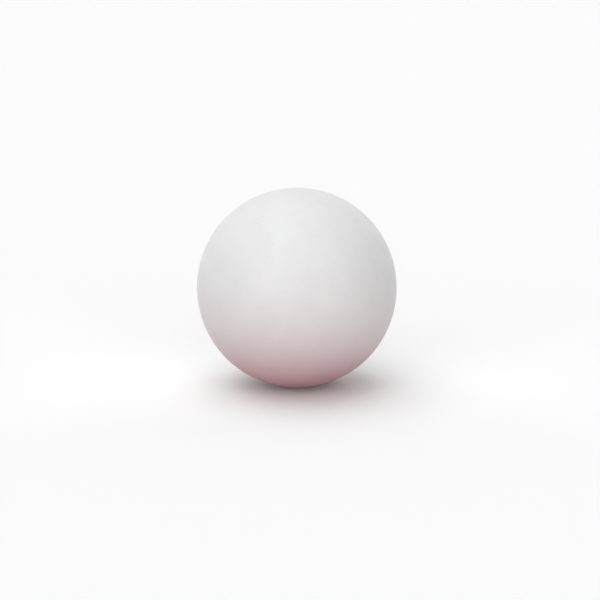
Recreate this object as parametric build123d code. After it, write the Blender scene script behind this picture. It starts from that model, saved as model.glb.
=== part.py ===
from build123d import *

import os
from math import sqrt

# A moulded polyurethane foam stress ball, 70 mm across, in millimetres.
#
# The ball is one block of soft foam in a thin soft-touch skin. The skin is sprayed into
# the two halves of the mould before the foam is poured, so it is two half shells that
# meet at the parting line. The foam goes in through a small hole, which is trimmed flush
# when the ball comes out of the mould and closed with a dab of the skin's own coating.
#
# The origin is the ball's centre. +Z is the axis of the pour hole, which is at the bottom.

# Driving dimensions
BALL_DIAMETER = 70.0
SKIN_THICKNESS = 0.5  # the sprayed coat and the dense rind of foam bonded to it
BOND_GAP = 0.1  # between the skin and the foam, which are bonded on the real ball
PARTING_GAP = 0.06  # hairline between the two half skins
POUR_HOLE_DIAMETER = 9.0
PATCH_CLEARANCE = 0.03  # radial, round the dab that closes the pour hole

# Sizes that follow from them
OUTER_R = BALL_DIAMETER / 2
INNER_R = OUTER_R - SKIN_THICKNESS
CORE_R = INNER_R - BOND_GAP
HOLE_R = POUR_HOLE_DIAMETER / 2
PATCH_R = HOLE_R - PATCH_CLEARANCE
SEAM_Z = PARTING_GAP / 2


def height_at(sphere_r, axis_distance):
    """How far a sphere's surface is above its middle plane, at a distance from its axis."""
    return sqrt(sphere_r**2 - axis_distance**2)


def meridian_arc(sphere_r, start, end):
    """The arc of a sphere's meridian between two (x, z) points on it."""
    middle = Vector(start[0] + end[0], 0, start[1] + end[1]).normalized() * sphere_r
    return ThreePointArc((start[0], 0, start[1]), middle, (end[0], 0, end[1]))


def turned(*edges):
    """The solid that a closed outline in the XZ plane sweeps about the Z axis."""
    return revolve(make_face(edges), axis=Axis.Z)


def straight(start, end):
    """A straight edge between two (x, z) points."""
    return Line((start[0], 0, start[1]), (end[0], 0, end[1]))


def half_skin(pole_hole_r=0.0):
    """A half shell from just above the middle plane up to the pole, or to a hole there."""
    outer_rim = (height_at(OUTER_R, SEAM_Z), SEAM_Z)
    inner_rim = (height_at(INNER_R, SEAM_Z), SEAM_Z)
    outer_top = (pole_hole_r, height_at(OUTER_R, pole_hole_r))
    inner_top = (pole_hole_r, height_at(INNER_R, pole_hole_r))
    return turned(
        meridian_arc(OUTER_R, outer_rim, outer_top),
        straight(outer_top, inner_top),
        meridian_arc(INNER_R, inner_top, inner_rim),
        straight(inner_rim, outer_rim),
    )


def skin_upper():
    return half_skin()


def skin_lower():
    """The half with the pour hole, turned over so that the hole is at the bottom."""
    return half_skin(HOLE_R).mirror(Plane.XY)


def foam_core():
    """The foam, a plain ball that fills the skin."""
    return Sphere(CORE_R)


def pour_hole_patch():
    """The dab of coating that fills the hole in the skin, flush on both sides."""
    outer_edge = (PATCH_R, -height_at(OUTER_R, PATCH_R))
    inner_edge = (PATCH_R, -height_at(INNER_R, PATCH_R))
    return turned(
        meridian_arc(OUTER_R, (0, -OUTER_R), outer_edge),
        straight(outer_edge, inner_edge),
        meridian_arc(INNER_R, inner_edge, (0, -INNER_R)),
        straight((0, -INNER_R), (0, -OUTER_R)),
    )


SUB_PARTS = (foam_core, skin_lower, skin_upper, pour_hole_patch)


def main():
    os.makedirs("parts", exist_ok=True)
    for make in SUB_PARTS:
        export_step(make(), f"parts/{make.__name__}.step")


main()
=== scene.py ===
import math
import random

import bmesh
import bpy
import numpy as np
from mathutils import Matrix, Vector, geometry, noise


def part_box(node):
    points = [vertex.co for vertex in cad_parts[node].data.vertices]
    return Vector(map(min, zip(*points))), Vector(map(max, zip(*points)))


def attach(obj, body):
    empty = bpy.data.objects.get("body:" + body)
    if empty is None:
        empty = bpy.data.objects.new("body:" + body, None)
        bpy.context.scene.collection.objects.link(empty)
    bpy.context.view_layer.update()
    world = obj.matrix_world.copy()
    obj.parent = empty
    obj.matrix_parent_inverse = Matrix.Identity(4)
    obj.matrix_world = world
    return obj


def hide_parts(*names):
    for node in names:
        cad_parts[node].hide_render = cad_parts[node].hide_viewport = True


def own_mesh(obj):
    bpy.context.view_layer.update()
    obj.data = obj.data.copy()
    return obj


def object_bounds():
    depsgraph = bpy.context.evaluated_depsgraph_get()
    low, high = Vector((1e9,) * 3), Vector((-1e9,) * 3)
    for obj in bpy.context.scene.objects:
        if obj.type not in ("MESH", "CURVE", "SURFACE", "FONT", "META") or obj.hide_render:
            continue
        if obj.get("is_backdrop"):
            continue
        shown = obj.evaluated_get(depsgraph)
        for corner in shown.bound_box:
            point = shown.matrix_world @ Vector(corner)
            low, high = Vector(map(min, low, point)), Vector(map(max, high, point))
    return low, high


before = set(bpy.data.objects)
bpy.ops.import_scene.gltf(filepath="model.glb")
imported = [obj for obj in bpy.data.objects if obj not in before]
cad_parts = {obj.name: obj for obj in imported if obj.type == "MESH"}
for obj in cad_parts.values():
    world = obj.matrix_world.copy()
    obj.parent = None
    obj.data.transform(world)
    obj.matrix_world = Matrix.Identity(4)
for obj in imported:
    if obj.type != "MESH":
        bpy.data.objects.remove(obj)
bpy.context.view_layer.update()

# The looks of a white squeeze ball: two sprayed half skins that meet at a parting line, the foam
# that fills them, and the dab of coating that closes the pour hole in the bottom.
#
# Lengths are in metres, except where a comment says millimetres. A direction is a unit vector from
# the ball's centre. A side is 1 for the upper half and -1 for the lower one.

MM = 0.001

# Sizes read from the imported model. The top of the dab is its inner rim, which is as far from the
# ball's centre as the inside of the skin.
BALL_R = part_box("skin_upper")[1].z
CORE_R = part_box("foam_core")[1].z
DAB_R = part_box("pour_hole_patch")[1].x
INNER_R = math.hypot(DAB_R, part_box("pour_hole_patch")[1].z)

# Spacing of the mesh points
OUTER_SPACING = 0.5 * MM
INNER_SPACING = 1.3 * MM
FOAM_SPACING = 0.46 * MM
DAB_SPACING = 0.32 * MM
MARGIN = 0.6  # between a lattice and a ring beside it, in spacings

# Rings of points that hold the small features. The distances are in millimetres.
RIM_POINTS = 600
HOLE_POINTS = 96
RINGS_BY_SEAM = (0.025, 0.05, 0.09, 0.15, 0.24, 0.4)
RINGS_ROUND_HOLE = (0.04, 0.1, 0.22, 0.45)
RINGS_IN_DAB = (0, 0.04, 0.1, 0.2, 0.34)

# The points in each ring round a mark, by the ring's share of the mark's radius, and the rows of
# points beside a scuff, in scuff widths
RINGS_ROUND_MARK = {0.3: 6, 0.55: 9, 0.78: 12, 1.0: 14, 1.25: 14, 1.7: 14}
SCUFF_ROWS = (-2.2, -1, -0.5, 0, 0.5, 1, 2.2)

# Slow unevenness of the moulded foam, and the orange peel of the sprayed coat
SWELL = 0.05 * MM
PEEL = 0.004 * MM
PEEL_LENGTH = 2.6 * MM

# The parting line. Its lips are rounded off, and a bead of trimmed flash is left at the back.
SEAM_GAP = 0.012 * MM
SEAM_LIP = 0.03 * MM
SEAM_BEAD = 0.05 * MM
SEAM_BEAD_WIDTH = 0.16 * MM

# The dab, which dried a little below the skin
DAB_DIP = 0.05 * MM
DAB_EDGE_WOBBLE = 0.12 * MM
DAB_EDGE_ROUNDING = 0.08  # millimetres
DAB_GAP = 0.02 * MM

# The foam's larger cells
FOAM_CELL = 1.9 * MM
FOAM_PIT = 0.24 * MM
FOAM_PIT_SLOPE = 0.6  # how wide a pit's slope is, in cells

# The two kinds of round mark in the coat. Depth and lip are shares of a mark's radius. A low wall
# power makes a pit with steep walls, and a high one a shallow bowl. How dark the bottom is, from 0
# to 1, is painted shade, put where shade falls in the pit or bowl, and radii is the range of sizes,
# in millimetres, of those placed at random.
PINHOLE = {"depth": 0.75, "lip": 0.06, "wall_power": 0.7, "tint": 0.75, "radii": (0.07, 0.14)}
DIMPLE = {"depth": 0.06, "lip": 0.0, "wall_power": 1.5, "tint": 0.1, "radii": (0.3, 0.45)}
MARK_COUNT = 60
MARK_CLEARANCE = 1.5 * MM  # from the parting line and the dab
MARK_SPACING = 1.6 * MM

# The marks on the ball's front, each as a longitude, a latitude and a radius in millimetres
FRONT_PINHOLES = [
    (-16, 36, 0.15), (53, 12, 0.17), (11, 63, 0.16), (61, 26, 0.14), (27, -4, 0.11),
    (-14, -19, 0.13), (-10, -19, 0.11), (6, -22, 0.12), (-3, 35, 0.09), (40, 30, 0.10),
    (5, -13, 0.09), (13, -12, 0.09),
]
FRONT_DIMPLES = [(-15, 25, 0.45), (-22, 34, 0.40), (-18, 29, 0.30), (8, 3, 0.40)]
FRONT_COSINE = 0.25  # of the widest angle from the camera's direction that counts as the front

# Rub marks, each as a longitude, a latitude and a heading in degrees, and then as a length and a
# bend radius in millimetres
SCUFF_MARKS = [
    (-36, 48, 20, 2.6, 2.2),
    (128, 22, -50, 4.5, 6.0),
    (171, -34, 75, 3.4, 4.0),
    (-112, 38, 10, 3.8, 5.0),
    (70, -52, 35, 2.8, 3.5),
]
SCUFF_STEP = 0.12  # millimetres between the points along a scuff
SCUFF_DEPTH = 0.025 * MM
SCUFF_WIDTH = 0.14 * MM
SCUFF_TINT = 0.3
SCUFF_REACH = 4 * MM  # from a scuff's middle to past its ends

# Colours
COAT_WHITE = (0.78, 0.78, 0.78)
COAT_CLOUD = (0.75, 0.75, 0.752)
COAT_GRIME = (0.68, 0.67, 0.66)
DAB_WHITE = (0.75, 0.75, 0.75)
DAB_CLOUD = (0.72, 0.72, 0.72)
DAB_GRIME = (0.64, 0.62, 0.6)
# Painted shade at the bottom of pinholes and dimples, also used to darken the scuffs' grooves
MARK_PAINTED_SHADE_AND_SCUFF = (0.2, 0.18, 0.17)
FOAM_CREAM = (0.86, 0.8, 0.68)
FOAM_BUFF = (0.8, 0.73, 0.59)
# Painted shade for the foam's large pits and for its cells
FOAM_PIT_PAINTED_SHADE = (0.5, 0.42, 0.3)
FOAM_CELL_PAINTED_SHADE = (0.52, 0.44, 0.32)

# Floor and surround. The floor looks the same all over, but the light that it throws back is warm
# and dim in a patch under the ball's front, as it would be off the palm that such a ball lies in.
# The patch fades out between two distances from its centre. The surround looks as bright as the
# floor, but gives the ball much less light.
FLOOR_RADII = (0.05, 0.2, 0.8, 3.0, 12.0)
FLOOR_SIDES = 64
FLOOR_SEEN = (0.92, 0.92, 0.92)
FLOOR_LIFT = 0.03
BOUNCE_NEAR = (0.52, 0.20, 0.23)
BOUNCE_FAR = (0.84, 0.84, 0.84)
BOUNCE_PATCH = (0.0, -BALL_R, -BALL_R)
BOUNCE_FADE = (0.02, 0.085)
SKY_SEEN = 0.975
SKY_LIGHT = 0.12

# The camera's elevation is in degrees, and its lens and sensor are in millimetres
CAMERA_ELEVATION = 12
CAMERA_LENS = 100
CAMERA_SENSOR = 36


def place(longitude, latitude):
    """The direction at a latitude and a longitude, which is 0 at the front and grows towards +X."""
    lon, lat = math.radians(longitude), math.radians(latitude)
    return np.array([math.sin(lon) * math.cos(lat), -math.cos(lon) * math.cos(lat), math.sin(lat)])


def unit(vectors):
    return vectors / np.linalg.norm(vectors, axis=-1, keepdims=True)


def off_axis(directions):
    """How far the ball's surface is from the Z axis in each direction."""
    return np.hypot(directions[:, 0], directions[:, 1]) * BALL_R


def across(direction):
    """Two directions square to one another and to a direction."""
    helper = np.array([0.0, 0.0, 1.0]) if abs(direction[2]) < 0.9 else np.array([1.0, 0.0, 0.0])
    first = unit(np.cross(helper, direction))
    return first, np.cross(direction, first)


# --- Points on the ball -------------------------------------------------------------------


def sunflower(spacing):
    """Directions spread evenly over the whole ball, with neighbours about a spacing apart."""
    count = int(4 * math.pi * BALL_R**2 / (math.sqrt(3) / 2 * spacing**2))
    step = np.arange(count)
    z = 1 - (2 * step + 1) / count
    turn = step * math.pi * (3 - math.sqrt(5))
    radius = np.sqrt(1 - z**2)
    return np.stack([radius * np.cos(turn), radius * np.sin(turn), z], 1)


def half_sunflower(spacing, side, rim_height):
    """The evenly spread directions of one half that are a margin past a height in it."""
    lattice = sunflower(spacing)
    return lattice[side * lattice[:, 2] * BALL_R > rim_height + MARGIN * spacing]


def level_ring(height, count):
    """Directions round the Z axis, at a height above the ball's middle plane."""
    turn = np.linspace(0, 2 * math.pi, count, endpoint=False)
    z = np.full(count, height / BALL_R)
    radius = np.sqrt(1 - z**2)
    return np.stack([radius * np.cos(turn), radius * np.sin(turn), z], 1)


def bottom_ring(radius):
    """Directions round the bottom of the ball, each at its own distance from the Z axis."""
    turn = np.linspace(0, 2 * math.pi, HOLE_POINTS, endpoint=False)
    sine = radius / BALL_R
    return np.stack([sine * np.cos(turn), sine * np.sin(turn), -np.sqrt(1 - sine**2)], 1)


def rings_round(centre, mark_r):
    """A mark's centre and rings of directions round it, each ring turned against the last."""
    first, second = across(centre)
    widest = max(RINGS_ROUND_MARK) * mark_r
    found = [centre[None]]
    for share, count in RINGS_ROUND_MARK.items():
        radius = share * mark_r
        turn = np.linspace(0, 2 * math.pi, count, endpoint=False) + radius / widest
        offsets = np.outer(np.cos(turn), first) + np.outer(np.sin(turn), second)
        found.append(unit(centre + offsets * radius / BALL_R))
    return np.vstack(found)


def rows_beside(line):
    """Rows of directions beside a scuff, so that the mesh can hold its narrow groove."""
    heading = unit(np.gradient(line, axis=0))
    aside = np.cross(line, heading)
    shifts = np.array(SCUFF_ROWS) * SCUFF_WIDTH / BALL_R
    return np.vstack([unit(line + aside * shift) for shift in shifts])


# --- Small marks in the skin --------------------------------------------------------------


def make_scuffs():
    """Faint curved rub marks, each as a row of directions."""
    scuffs = []
    for longitude, latitude, heading, length, bend in SCUFF_MARKS:
        centre = place(longitude, latitude)
        first, second = across(centre)
        angle = math.radians(heading)
        along = math.cos(angle) * first + math.sin(angle) * second
        aside = math.cos(angle) * second - math.sin(angle) * first
        swing = np.linspace(-0.5, 0.5, int(length / SCUFF_STEP)) * length / bend
        x, y = bend * np.sin(swing), bend * (1 - np.cos(swing))
        scuffs.append(unit(centre + (np.outer(x, along) + np.outer(y, aside)) * MM / BALL_R))
    return scuffs


def make_marks(scuffs):
    """Pinholes and dimples in the coat, as (direction, radius, kind). The front has its own, and
    the rest are at random, clear of the front, the parting line, the dab and one another."""
    random.seed(31)
    marks = [(place(lon, lat), radius * MM, PINHOLE) for lon, lat, radius in FRONT_PINHOLES]
    marks += [(place(lon, lat), radius * MM, DIMPLE) for lon, lat, radius in FRONT_DIMPLES]
    while len(marks) < MARK_COUNT:
        direction = unit(np.array([random.gauss(0, 1) for _ in range(3)]))
        kind = random.choice((PINHOLE, PINHOLE, PINHOLE, DIMPLE))
        radius = random.uniform(*kind["radii"]) * MM
        at_front = direction @ place(0, CAMERA_ELEVATION) > FRONT_COSINE
        near_seam = abs(direction[2]) * BALL_R < MARK_CLEARANCE
        near_dab = direction[2] < 0 and off_axis(direction[None])[0] < DAB_R + MARK_CLEARANCE
        others = np.vstack([mark[0] for mark in marks] + scuffs)
        crowded = np.linalg.norm(others - direction, axis=1).min() * BALL_R < MARK_SPACING
        if not (at_front or near_seam or near_dab or crowded):
            marks.append((direction, radius, kind))
    return marks


SCUFFS = make_scuffs()
MARKS = make_marks(SCUFFS)


def mark_points(side):
    """The rings and rows of points for one half's marks and scuffs, and, as (centre, radius), the
    spots that they fill."""
    points = []
    filled = []
    for centre, radius, _ in MARKS:
        if side * centre[2] > 0:
            points.append(rings_round(centre, radius))
            filled.append((centre, max(RINGS_ROUND_MARK) * radius))
    for line in SCUFFS:
        if side * line[0][2] > 0:
            points.append(rows_beside(line))
            filled += [(point, max(SCUFF_ROWS) * SCUFF_WIDTH) for point in line]
    return points, filled


def clear_of(directions, filled, distance):
    """The directions that are further than a distance from every filled spot."""
    kept = directions
    for centre, radius in filled:
        chord = np.linalg.norm(kept - centre, axis=1) * BALL_R
        kept = kept[chord > radius + distance]
    return kept


# --- Relief -------------------------------------------------------------------------------


def swell(directions):
    """The slow unevenness that the foam and both sides of the skin share."""
    total = np.zeros(len(directions))
    for wave in range(1, 8):
        aim = unit(np.array([math.sin(2.1 * wave), math.cos(3.7 * wave), math.sin(1.3 * wave + 1)]))
        total += np.sin((2.2 + 0.9 * wave) * (directions @ aim) + 1.7 * wave) / wave
    return SWELL * total / 2


def peel(directions):
    """The coat's orange peel."""
    scale = BALL_R / PEEL_LENGTH
    return PEEL * np.array([noise.noise(Vector(d) * scale) for d in directions.tolist()])


def seam_relief(directions):
    """The rounded lips of the parting line and the bead of trimmed flash along it."""
    from_seam = np.abs(directions[:, 2]) * BALL_R
    lips = -SEAM_LIP * np.exp(-((from_seam / (0.6 * SEAM_LIP)) ** 2))
    at_back = (1 + unit(directions[:, :2] + 1e-12)[:, 1]) / 2
    turn = np.arctan2(directions[:, 1], directions[:, 0])
    patchy = 0.6 + 0.4 * np.sin(5 * turn + 1) * np.sin(13 * turn)
    bead = SEAM_BEAD * at_back**3 * patchy * np.exp(-((from_seam / SEAM_BEAD_WIDTH) ** 2))
    return lips + bead


def marks_relief(directions):
    """The height that marks and scuffs add at each point, and how dark they make it, 0 to 1:
    painted shade in the pinholes and dimples, and darker along the scuffs' grooves.
    """
    height = np.zeros(len(directions))
    tint = np.zeros(len(directions))
    for centre, radius, kind in MARKS:
        near = np.flatnonzero(directions @ centre > math.cos(3 * radius / BALL_R))
        share = np.linalg.norm(directions[near] - centre, axis=1) * BALL_R / radius
        bowl = np.clip(1 - share**2, 0, 1) ** kind["wall_power"]
        lip = np.exp(-(((share - 1.25) / 0.25) ** 2))
        height[near] += radius * (kind["lip"] * lip - kind["depth"] * bowl)
        # Painted shade, darkest at the bottom of the pinhole or dimple
        tint[near] = np.maximum(tint[near], kind["tint"] * bowl)
    for line in SCUFFS:
        near = np.flatnonzero(directions @ line[len(line) // 2] > math.cos(SCUFF_REACH / BALL_R))
        gaps = np.linalg.norm(directions[near, None] - line[None], axis=2) * BALL_R
        ends = np.sin(math.pi * (gaps.argmin(1) + 1) / (len(line) + 1))
        groove = ends * np.exp(-((gaps.min(1) / (0.5 * SCUFF_WIDTH)) ** 2))
        height[near] -= SCUFF_DEPTH * groove
        tint[near] = np.maximum(tint[near], SCUFF_TINT * groove)
    return height, tint


def dab_outline():
    """The dab's slightly uneven edge, as a distance from the Z axis at each ring point."""
    turn = np.linspace(0, 2 * math.pi, HOLE_POINTS, endpoint=False)
    wobble = np.sin(2 * turn + 0.7) + 0.5 * np.sin(5 * turn) + 0.3 * np.sin(9 * turn + 2)
    return DAB_R + DAB_EDGE_WOBBLE * (wobble / 1.8 - 1) / 2


# --- Meshes -------------------------------------------------------------------------------


def triangles(directions, side, hole=None):
    """Delaunay triangles over one half of the ball, found on its stereographic map. A hole is the
    range of the point numbers round it, and triangles between those points alone are left out."""
    flat = directions[:, :2] / (1 + side * directions[:, 2:])
    result = geometry.delaunay_2d_cdt([Vector(p) for p in flat.tolist()], [], [], 0, 1e-12)
    _, _, faces, sources, _, _ = result
    first_source = [numbers[0] for numbers in sources]
    faces = [[first_source[v] for v in face] for face in faces]
    if hole is None:
        return faces
    return [face for face in faces if not all(v in hole for v in face)]


def ring_strip(start, count, offset):
    """Quads between a ring of points and another ring whose point numbers are an offset away."""
    pairs = [(start + i, start + (i + 1) % count) for i in range(count)]
    return [[a, b, b + offset, a + offset] for a, b in pairs]


def mesh_object(name, points, faces, tint):
    """A closed, smooth-shaded object with its normals outward. Each point keeps its painted shade,
    in holes, dimples and pits, and how dark the scuffs are, and its place at rest, so that a
    squeeze carries the material's pattern along."""
    mesh = bpy.data.meshes.new(name)
    mesh.from_pydata(points.tolist(), [], faces)
    darkness = mesh.attributes.new("tint", "FLOAT", "POINT")
    darkness.data.foreach_set("value", tint.astype(np.float32))
    rest = mesh.attributes.new("rest_place", "FLOAT_VECTOR", "POINT")
    rest.data.foreach_set("vector", points.astype(np.float32).ravel())
    turned_out = bmesh.new()
    turned_out.from_mesh(mesh)
    bmesh.ops.recalc_face_normals(turned_out, faces=turned_out.faces)
    turned_out.to_mesh(mesh)
    turned_out.free()
    mesh.shade_smooth()
    piece = bpy.data.objects.new(name, mesh)
    bpy.context.scene.collection.objects.link(piece)
    return piece


def make_half_skin(name, side):
    """One half skin: a fine outer surface, a coarser inner one, and the strips that join them."""
    edges = level_ring(side * SEAM_GAP / 2, RIM_POINTS)
    by_seam = [level_ring(side * height * MM, RIM_POINTS) for height in RINGS_BY_SEAM]
    on_marks, filled = mark_points(side)
    fine = half_sunflower(OUTER_SPACING, side, RINGS_BY_SEAM[-1] * MM)
    fine = clear_of(fine, filled, MARGIN * OUTER_SPACING)
    coarse = half_sunflower(INNER_SPACING, side, 0)
    hole = None
    round_hole = []
    if side < 0:
        outline = dab_outline() + DAB_GAP
        edges = np.vstack([edges, bottom_ring(outline)])
        hole = range(RIM_POINTS, RIM_POINTS + HOLE_POINTS)
        round_hole = [bottom_ring(outline + distance * MM) for distance in RINGS_ROUND_HOLE]
        widest = outline.max() + RINGS_ROUND_HOLE[-1] * MM
        fine = fine[off_axis(fine) > widest + MARGIN * OUTER_SPACING]
        coarse = coarse[off_axis(coarse) > outline.max() + MARGIN * INNER_SPACING]
    outer = np.vstack([edges, *by_seam, *on_marks, *round_hole, fine])
    inner = np.vstack([edges, coarse])

    height, tint = marks_relief(outer)
    outer_r = BALL_R + swell(outer) + peel(outer) + seam_relief(outer) + height
    inner_r = INNER_R + swell(inner)
    points = np.vstack([outer * outer_r[:, None], inner * inner_r[:, None]])
    for rim_start in (0, len(outer)):
        points[rim_start : rim_start + RIM_POINTS, 2] = side * SEAM_GAP / 2

    faces = triangles(outer, side, hole)
    faces += [[v + len(outer) for v in face] for face in triangles(inner, side, hole)]
    faces += ring_strip(0, RIM_POINTS, len(outer))
    if hole:
        faces += ring_strip(hole.start, HOLE_POINTS, len(outer))
    return mesh_object(name, points, faces, np.concatenate([tint, np.zeros(len(inner))]))


def make_dab():
    """The dab that closes the pour hole. It dried a little below the skin, with a rounded edge."""
    outline = dab_outline()
    rings = [bottom_ring(outline - distance * MM) for distance in RINGS_IN_DAB]
    lattice = sunflower(DAB_SPACING)
    lattice_r = outline.min() - RINGS_IN_DAB[-1] * MM - MARGIN * DAB_SPACING
    lattice = lattice[(lattice[:, 2] < 0) & (off_axis(lattice) < lattice_r)]
    outer = np.vstack([*rings, lattice])
    from_edge = np.concatenate([np.repeat(RINGS_IN_DAB, HOLE_POINTS), np.ones(len(lattice))])
    share = off_axis(outer) / DAB_R
    dip = DAB_DIP * (1 - share**6 + np.exp(-((from_edge / DAB_EDGE_ROUNDING) ** 2)))
    outer_r = BALL_R + swell(outer) + 2 * peel(outer) - dip
    inner_r = INNER_R + swell(outer)
    points = np.vstack([outer * outer_r[:, None], outer * inner_r[:, None]])
    faces = triangles(outer, -1)
    faces += [[v + len(outer) for v in face] for face in faces]
    faces += ring_strip(0, HOLE_POINTS, len(outer))
    return mesh_object("pour_hole_dab", points, faces, np.zeros(len(points)))


def make_foam():
    """The foam, a ball whose surface is pitted by its cells."""
    rim = level_ring(0, RIM_POINTS // 2)
    upper = half_sunflower(FOAM_SPACING, 1, 0)
    lower = half_sunflower(FOAM_SPACING, -1, 0)
    directions = np.vstack([rim, upper, lower])
    faces = triangles(np.vstack([rim, upper]), 1)
    for face in triangles(np.vstack([rim, lower]), -1):
        faces.append([v if v < len(rim) else v + len(upper) for v in face])
    cells = [noise.voronoi(Vector(d) * (CORE_R / FOAM_CELL))[0] for d in directions.tolist()]
    nearest, second = np.array(cells)[:, 0], np.array(cells)[:, 1]
    from_wall = np.clip((second - nearest) / FOAM_PIT_SLOPE, 0, 1)
    pit = from_wall * from_wall * (3 - 2 * from_wall)
    radius = CORE_R + swell(directions) - FOAM_PIT * pit
    # The pits' depth is also how much painted shade they get.
    return mesh_object("foam", directions * radius[:, None], faces, pit)


# --- Materials ----------------------------------------------------------------------------


class Nodes:
    """A short way to write a material's nodes."""

    def __init__(self, name):
        self.material = bpy.data.materials.new(name)
        self.material.use_nodes = True
        self.tree = self.material.node_tree
        self.tree.nodes.clear()
        self.shader = self.add("ShaderNodeBsdfPrincipled")
        output = self.add("ShaderNodeOutputMaterial")
        self.join(self.shader.outputs["BSDF"], output.inputs["Surface"])
        self.rest_place = self.attribute("rest_place").outputs["Vector"]

    def add(self, kind, **settings):
        node = self.tree.nodes.new(kind)
        for setting, value in settings.items():
            setattr(node, setting, value)
        return node

    def join(self, source, target):
        self.tree.links.new(source, target)

    def attribute(self, name):
        return self.add("ShaderNodeAttribute", attribute_name=name)

    def noise(self, length, detail, roughness=0.5):
        """Noise, from 0 to 1, whose patches are about a length across."""
        node = self.add("ShaderNodeTexNoise")
        node.inputs["Scale"].default_value = 1 / length
        node.inputs["Detail"].default_value = detail
        node.inputs["Roughness"].default_value = roughness
        self.join(self.rest_place, node.inputs["Vector"])
        return node.outputs["Fac"]

    def ranged(self, value, given, wanted):
        """A value moved from a given range to the wanted one, and kept within it."""
        node = self.add("ShaderNodeMapRange")
        node.inputs["From Min"].default_value = given[0]
        node.inputs["From Max"].default_value = given[1]
        node.inputs["To Min"].default_value = wanted[0]
        node.inputs["To Max"].default_value = wanted[1]
        self.join(value, node.inputs["Value"])
        return node.outputs["Result"]

    def mixed(self, factor, first, second):
        """A colour between two, each given as a colour or as another node's output."""
        node = self.add("ShaderNodeMix", data_type="RGBA")
        self.join(factor, node.inputs["Factor"])
        sockets = [socket for socket in node.inputs if socket.type == "RGBA"]
        for socket, colour in zip(sockets, (first, second)):
            if isinstance(colour, tuple):
                socket.default_value = (*colour, 1)
            else:
                self.join(colour, socket)
        return next(socket for socket in node.outputs if socket.type == "RGBA")

    def bump(self, height, depth, below=None):
        """A bump as deep as depth, on top of another bump's normal."""
        node = self.add("ShaderNodeBump")
        node.inputs["Distance"].default_value = depth
        self.join(height, node.inputs["Height"])
        if below is not None:
            self.join(below, node.inputs["Normal"])
        return node.outputs["Normal"]


def coat_material(name, white, cloud, grime, roughness):
    """The sprayed soft-touch coat: a matte, faintly clouded white, with painted shade in its
    pinholes and dimples, and darker along its scuffs.
    """
    nodes = Nodes(name)
    shader = nodes.shader.inputs
    clouds = nodes.ranged(nodes.noise(9 * MM, detail=3), (0.3, 0.7), (0, 1))
    rubbed = nodes.ranged(nodes.noise(3.5 * MM, detail=4, roughness=0.6), (0.58, 0.75), (0, 0.25))
    # Painted shade in the pinholes and dimples, and the darker scuffs, from the mesh
    marked = nodes.attribute("tint").outputs["Fac"]
    colour = nodes.mixed(clouds, white, cloud)
    colour = nodes.mixed(rubbed, colour, grime)
    colour = nodes.mixed(marked, colour, MARK_PAINTED_SHADE_AND_SCUFF)
    nodes.join(colour, shader["Base Color"])
    rough_range = (roughness - 0.04, roughness + 0.05)
    nodes.join(nodes.ranged(clouds, (0, 1), rough_range), shader["Roughness"])
    waves = nodes.bump(nodes.noise(1.7 * MM, detail=1), 0.008 * MM)
    grain = nodes.bump(nodes.noise(0.28 * MM, detail=2), 0.006 * MM, waves)
    nodes.join(grain, shader["Normal"])
    shader["IOR"].default_value = 1.45
    shader["Sheen Weight"].default_value = 0.2
    shader["Sheen Roughness"].default_value = 0.4
    shader["Subsurface Weight"].default_value = 0.12
    shader["Subsurface Radius"].default_value = (1.0, 0.85, 0.75)
    shader["Subsurface Scale"].default_value = 1.2 * MM
    return nodes.material


def foam_material():
    """Open-celled polyurethane foam: cream struts, with painted shade in the cells between them
    and more painted shade in the large pits.
    """
    nodes = Nodes("foam")
    shader = nodes.shader.inputs
    cells = nodes.add("ShaderNodeTexVoronoi", feature="DISTANCE_TO_EDGE")
    cells.inputs["Scale"].default_value = 1 / (0.75 * MM)
    nodes.join(nodes.rest_place, cells.inputs["Vector"])
    strut = nodes.ranged(cells.outputs["Distance"], (0.03, 0.17), (1, 0))
    # Painted shade in the large pits and in the cells between the struts
    in_pit = nodes.ranged(nodes.attribute("tint").outputs["Fac"], (0, 1), (0, 0.5))
    in_cell = nodes.ranged(strut, (0, 1), (0.55, 0))
    clouds = nodes.ranged(nodes.noise(6 * MM, detail=3), (0.3, 0.7), (0, 1))
    colour = nodes.mixed(clouds, FOAM_CREAM, FOAM_BUFF)
    colour = nodes.mixed(in_pit, colour, FOAM_PIT_PAINTED_SHADE)
    colour = nodes.mixed(in_cell, colour, FOAM_CELL_PAINTED_SHADE)
    nodes.join(colour, shader["Base Color"])
    nodes.join(nodes.ranged(strut, (0, 1), (0.95, 0.8)), shader["Roughness"])
    nodes.join(nodes.bump(strut, 0.09 * MM), shader["Normal"])
    return nodes.material


def floor_material():
    """Plain pale paper, with its warm patch of thrown back light."""
    nodes = Nodes("floor_paper")
    shader = nodes.shader.inputs
    distance = nodes.add("ShaderNodeVectorMath", operation="DISTANCE")
    distance.inputs[1].default_value = BOUNCE_PATCH
    nodes.join(nodes.add("ShaderNodeNewGeometry").outputs["Position"], distance.inputs[0])
    away = nodes.ranged(distance.outputs["Value"], BOUNCE_FADE, (0, 1))
    bounce = nodes.mixed(away, BOUNCE_NEAR, BOUNCE_FAR)
    seen = nodes.add("ShaderNodeLightPath").outputs["Is Camera Ray"]
    nodes.join(nodes.mixed(seen, bounce, FLOOR_SEEN), shader["Base Color"])
    nodes.join(nodes.ranged(seen, (0, 1), (0, FLOOR_LIFT)), shader["Emission Strength"])
    shader["Emission Color"].default_value = (1, 1, 1, 1)
    shader["Roughness"].default_value = 0.9
    shader["Specular IOR Level"].default_value = 0.0
    return nodes.material


# --- The pieces ---------------------------------------------------------------------------

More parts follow.
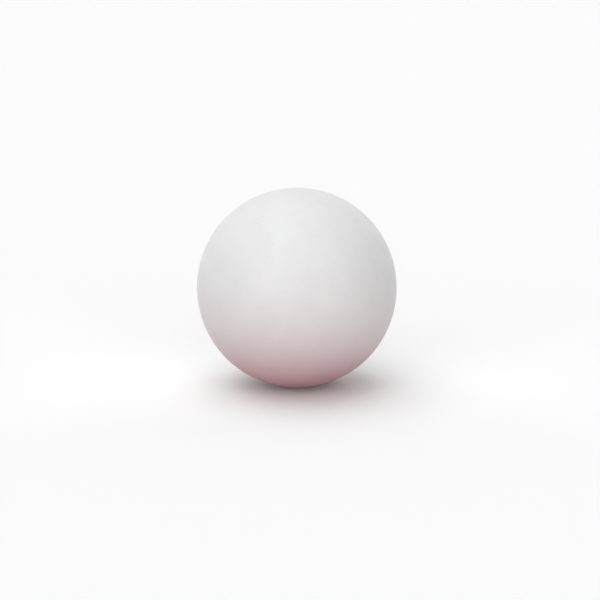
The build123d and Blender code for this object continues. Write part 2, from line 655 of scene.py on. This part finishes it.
coat = coat_material("soft_touch_coat", COAT_WHITE, COAT_CLOUD, COAT_GRIME, 0.5)
dab_coat = coat_material("dab_coat", DAB_WHITE, DAB_CLOUD, DAB_GRIME, 0.42)
foam_look = foam_material()


def finish_piece(piece, material, body, node):
    """Gives a piece its material and body, hides the imported part that it stands for, and gives it
    a mesh of its own.
    """
    piece.data.materials.append(material)
    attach(piece, body)
    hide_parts(node)
    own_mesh(piece)


# The upper half skin has a body of its own, and the lower half skin, the dab and the foam share the
# lower half's body. The parting line is midway between the poles.
upper = make_half_skin("half_skin_upper", 1)
finish_piece(upper, coat, "upper_half", "skin_upper")
lower = make_half_skin("half_skin_lower", -1)
finish_piece(lower, coat, "lower_half", "skin_lower")
dab = make_dab()
finish_piece(dab, dab_coat, "lower_half", "pour_hole_patch")
foam = make_foam()
finish_piece(foam, foam_look, "lower_half", "foam_core")


# --- Stage, light and camera --------------------------------------------------------------


def make_floor(floor_z):
    """A wide flat floor of pale paper, in rings that widen outwards."""
    turns = [2 * math.pi * i / FLOOR_SIDES for i in range(FLOOR_SIDES)]
    points = [(r * math.cos(t), r * math.sin(t), floor_z) for r in FLOOR_RADII for t in turns]
    faces = [list(range(FLOOR_SIDES))]
    for ring in range(1, len(FLOOR_RADII)):
        faces += ring_strip(ring * FLOOR_SIDES, FLOOR_SIDES, -FLOOR_SIDES)
    mesh = bpy.data.meshes.new("floor")
    mesh.from_pydata(points, [], faces)
    mesh.materials.append(floor_material())
    floor = bpy.data.objects.new("floor", mesh)
    bpy.context.scene.collection.objects.link(floor)
    floor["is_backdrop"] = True


def add_world():
    """An even white surround, which shows as bright as the floor, so that there is no horizon."""
    world = bpy.data.worlds.new("studio")
    world.use_nodes = True
    tree = world.node_tree
    background = tree.nodes["Background"]
    background.inputs["Color"].default_value = (1, 1, 1, 1)
    path = tree.nodes.new("ShaderNodeLightPath")
    strength = tree.nodes.new("ShaderNodeMapRange")
    strength.inputs["To Min"].default_value = SKY_LIGHT
    strength.inputs["To Max"].default_value = SKY_SEEN
    tree.links.new(path.outputs["Is Camera Ray"], strength.inputs["Value"])
    tree.links.new(strength.outputs["Result"], background.inputs["Strength"])
    bpy.context.scene.world = world


def add_softbox(name, towards, power, width):
    """A very wide lamp, far away in one direction. Its width is in degrees, as the ball sees it."""
    lamp = bpy.data.lights.new(name, "SUN")
    lamp.energy = power
    lamp.angle = math.radians(width)
    lamp_object = bpy.data.objects.new(name, lamp)
    lamp_object.location = towards
    lamp_object.rotation_euler = Vector(towards).to_track_quat("Z", "Y").to_euler()
    bpy.context.scene.collection.objects.link(lamp_object)


def add_camera(apparent_radius, shift_x, shift_y):
    """A camera in front of the ball, as far away as its apparent radius asks. The radius and the
    shifts are in widths of the picture."""
    data = bpy.data.cameras.new("camera")
    data.lens = CAMERA_LENS
    data.sensor_width = CAMERA_SENSOR
    data.shift_x = shift_x
    data.shift_y = shift_y
    data.clip_end = 2 * FLOOR_RADII[-1]
    half_angle = math.atan(apparent_radius * CAMERA_SENSOR / CAMERA_LENS)
    distance = BALL_R / math.sin(half_angle)
    camera = bpy.data.objects.new("camera", data)
    camera.location = Vector(place(0, CAMERA_ELEVATION)) * distance
    camera.rotation_euler = camera.location.to_track_quat("Z", "Y").to_euler()
    bpy.context.scene.collection.objects.link(camera)
    bpy.context.scene.camera = camera


make_floor(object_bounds()[0].z)
add_world()
add_softbox("key", towards=(-0.12, -1.0, 0.28), power=2.42, width=90)
add_softbox("top", towards=(-0.16, 0.0, 1.0), power=1.36, width=60)
add_softbox("behind", towards=(0.0, 1.0, 0.15), power=2.0, width=120)
add_camera(apparent_radius=0.1666, shift_x=0.0052, shift_y=-0.0206)
bpy.context.scene.view_settings.view_transform = "Standard"
